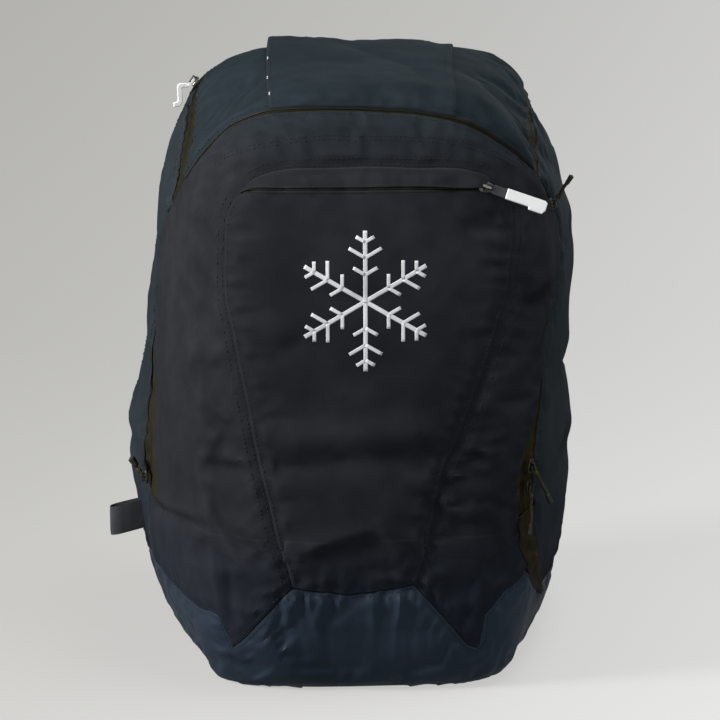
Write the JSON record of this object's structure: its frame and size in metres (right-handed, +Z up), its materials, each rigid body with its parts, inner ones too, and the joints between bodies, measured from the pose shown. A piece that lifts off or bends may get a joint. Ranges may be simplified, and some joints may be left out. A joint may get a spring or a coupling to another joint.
{
  "type": "ski boot backpack",
  "caption": "Backpack for ski boots and a helmet: tarpaulin tub, domed fabric shell, fold-back lid, fold-down front flap on curved zips, outer pocket and padded harness.",
  "frame": {"origin": "on the ground, in the middle of the flat underside", "axes": "+Z up; the back, with the harness, is towards +Y and the front pocket faces -Y; +X is to the right when the front is looked at"},
  "size_m": [0.401, 0.3279, 0.5048],
  "materials": {
    "tarpaulin": "coated tarpaulin, satin",
    "eyelet": "black enamel, satin",
    "board": "matt sheet",
    "front_fabric": "woven polyester, matt",
    "lid_fabric": "woven polyester, matt",
    "side_fabric": "woven polyester, matt",
    "lining": "lining, matt",
    "zip": "coil zip on tape",
    "slider": "dark gunmetal",
    "white_pull": "moulded, satin",
    "black_pull": "moulded, matt",
    "cord_pull": "braided cord",
    "air_mesh": "spacer mesh, matt",
    "webbing": "woven webbing",
    "buckle": "moulded acetal, matt"
  },
  "bodies": {
    "shell": {"base_tub": "tarpaulin", "drain_eyelet_left": "eyelet", "drain_eyelet_right": "eyelet", "base_board": "board", "front_skirt": "front_fabric", "side_panel_right": "side_fabric", "side_panel_left": "side_fabric", "back_panel": "side_fabric", "frame_sheet": "board", "boot_divider": "lining", "helmet_shelf": "lining", "side_zip_left_body_half": "zip", "side_zip_right_body_half": "zip", "lid_zip_left_body_half": "zip", "lid_zip_right_body_half": "zip", "side_zip_right_tail": "zip", "back_pad_left": "air_mesh", "back_pad_right": "air_mesh", "lumbar_pad": "air_mesh", "lower_webbing_left": "webbing", "lower_webbing_right": "webbing"},
    "front_flap": {"front_panel": "front_fabric", "side_zip_left_flap_half": "zip", "side_zip_right_flap_half": "zip", "arc_zip_flap_half": "zip", "pocket_panel": "front_fabric", "pocket_zip_flap": "front_fabric", "pocket_zip_chain": "zip"},
    "lid": {"lid_panel": "lid_fabric", "lid_centre_pad": "lid_fabric", "arc_zip_lid_half": "zip", "lid_zip_left_lid_half": "zip", "lid_zip_right_lid_half": "zip"},
    "pocket_slider": {"pocket_slider": "slider"},
    "pocket_pull": {"pocket_pull": "black_pull", "pocket_pull_bar": "white_pull"},
    "lid_slider": {"lid_slider": "slider"},
    "lid_pull": {"lid_pull": "white_pull"},
    "top_right_slider": {"top_right_slider": "slider"},
    "top_right_pull": {"top_right_pull": "cord_pull"},
    "upper_right_slider": {"upper_right_slider": "slider"},
    "upper_right_pull": {"upper_right_pull": "cord_pull"},
    "lower_right_slider": {"lower_right_slider": "slider"},
    "lower_right_pull": {"lower_right_pull": "cord_pull"},
    "left_slider": {"left_slider": "slider"},
    "left_pull": {"left_pull": "cord_pull"},
    "ski_loop": {"ski_loop_left": "webbing"},
    "haul_handle": {"haul_handle_strap": "webbing"},
    "strap_left": {"shoulder_strap_left": "air_mesh", "ladder_lock_left": "buckle"},
    "sternum_left": {"sternum_strap_left": "webbing", "sternum_buckle_socket": "buckle"},
    "waist_left": {"waist_belt_left": "webbing", "waist_buckle_socket": "buckle"},
    "strap_right": {"shoulder_strap_right": "air_mesh", "ladder_lock_right": "buckle"},
    "sternum_right": {"sternum_strap_right": "webbing", "sternum_buckle_plug": "buckle"},
    "waist_right": {"waist_belt_right": "webbing", "waist_buckle_plug": "buckle"}
  },
  "joints": [
    {"name": "front_flap_fold", "type": "hinge", "parent": "shell", "child": "front_flap", "pos_m": [0, -0.151, 0.128], "axis": [1, 0, 0], "range_deg": [0, 100]},
    {"name": "lid_fold", "type": "hinge", "parent": "shell", "child": "lid", "pos_m": [0, 0.112, 0.499], "axis": [-1, 0, 0], "range_deg": [0, 100]},
    {"name": "pocket_slider_travel", "type": "hinge", "parent": "front_flap", "child": "pocket_slider", "pos_m": [0.00142, 0.5836, 0.416], "axis": [0, 0, -1], "range_deg": [0, 14.65]},
    {"name": "pocket_pull_swing", "type": "hinge", "parent": "pocket_slider", "child": "pocket_pull", "pos_m": [0.09462, -0.13531, 0.41794], "axis": [-0.3205, -0.3233, -0.8903], "range_deg": [-4, 110]},
    {"name": "lid_slider_travel", "type": "hinge", "parent": "lid", "child": "lid_slider", "pos_m": [-0.19291, 0.16085, 0.22059], "axis": [0.9703, -0.0029, -0.242], "range_deg": [0, 23.18]},
    {"name": "lid_pull_swing", "type": "hinge", "parent": "lid_slider", "child": "lid_pull", "pos_m": [-0.13466, 0.10024, 0.4719], "axis": [-0.123, 0.9919, -0.0318], "range_deg": [-2, 110]},
    {"name": "top_right_slider_travel", "type": "hinge", "parent": "front_flap", "child": "top_right_slider", "pos_m": [0.14794, -0.08181, 0.35964], "axis": [-0.9435, 0.309, -0.1199], "range_deg": [0, 56.5]},
    {"name": "top_right_pull_swing", "type": "hinge", "parent": "top_right_slider", "child": "top_right_pull", "pos_m": [0.15725, -0.05605, 0.39004], "axis": [0.2285, 0.9733, -0.0211], "range_deg": [-25, 80]},
    {"name": "upper_right_slider_travel", "type": "hinge", "parent": "front_flap", "child": "upper_right_slider", "pos_m": [-0.12474, -0.29037, 0.32003], "axis": [0.5801, -0.8058, 0.1192], "range_deg": [0, 11.13]},
    {"name": "upper_right_pull_swing", "type": "hinge", "parent": "upper_right_slider", "child": "upper_right_pull", "pos_m": [0.13493, -0.12821, 0.18838], "axis": [-0.5961, -0.7239, -0.3474], "range_deg": [-8, 90]},
    {"name": "lower_right_slider_travel", "type": "hinge", "parent": "front_flap", "child": "lower_right_slider", "pos_m": [-0.36799, 0.51528, 0.24565], "axis": [0.7866, 0.591, 0.179], "range_deg": [0, 2.16]},
    {"name": "lower_right_pull_swing", "type": "hinge", "parent": "lower_right_slider", "child": "lower_right_pull", "pos_m": [0.13382, -0.12846, 0.17125], "axis": [-0.6187, -0.7598, 0.1997], "range_deg": [-3, 95]},
    {"name": "left_slider_travel", "type": "hinge", "parent": "front_flap", "child": "left_slider", "pos_m": [0.38097, 0.10596, 0.14862], "axis": [-0.1296, 0.9879, -0.0857], "range_deg": [0, 9.92]},
    {"name": "left_pull_swing", "type": "hinge", "parent": "left_slider", "child": "left_pull", "pos_m": [-0.18099, 0.03133, 0.14094], "axis": [0.1729, -0.9623, 0.2098], "range_deg": [-15, 90]},
    {"name": "ski_loop_bend", "type": "hinge", "parent": "shell", "child": "ski_loop", "pos_m": [-0.18209, 0.0625, 0.102], "axis": [0, 0, 1], "range_deg": [-35, 35], "stiffness_Nm_per_rad": 0.02},
    {"name": "haul_handle_swing", "type": "hinge", "parent": "shell", "child": "haul_handle", "pos_m": [0, 0.1352, 0.478], "axis": [1, 0, 0], "range_deg": [0, 140]},
    {"name": "strap_left_swing", "type": "hinge", "parent": "shell", "child": "strap_left", "pos_m": [-0.038, 0.137, 0.443], "axis": [1, 0, 0], "range_deg": [0, 15]},
    {"name": "sternum_left_slide", "type": "slide", "parent": "strap_left", "child": "sternum_left", "axis": [-0.2645, 0.0721, -0.9617], "range_m": [-0.02, 0.03]},
    {"name": "waist_left_swing", "type": "hinge", "parent": "shell", "child": "waist_left", "pos_m": [-0.104, 0.1458, 0.116], "axis": [0, 0, 1], "range_deg": [0, 100]},
    {"name": "strap_right_swing", "type": "hinge", "parent": "shell", "child": "strap_right", "pos_m": [0.038, 0.137, 0.443], "axis": [1, 0, 0], "range_deg": [0, 15]},
    {"name": "sternum_right_slide", "type": "slide", "parent": "strap_right", "child": "sternum_right", "axis": [0.2645, 0.0721, -0.9617], "range_m": [-0.02, 0.03]},
    {"name": "waist_right_swing", "type": "hinge", "parent": "shell", "child": "waist_right", "pos_m": [0.104, 0.1458, 0.116], "axis": [0, 0, -1], "range_deg": [0, 100]}
  ]
}
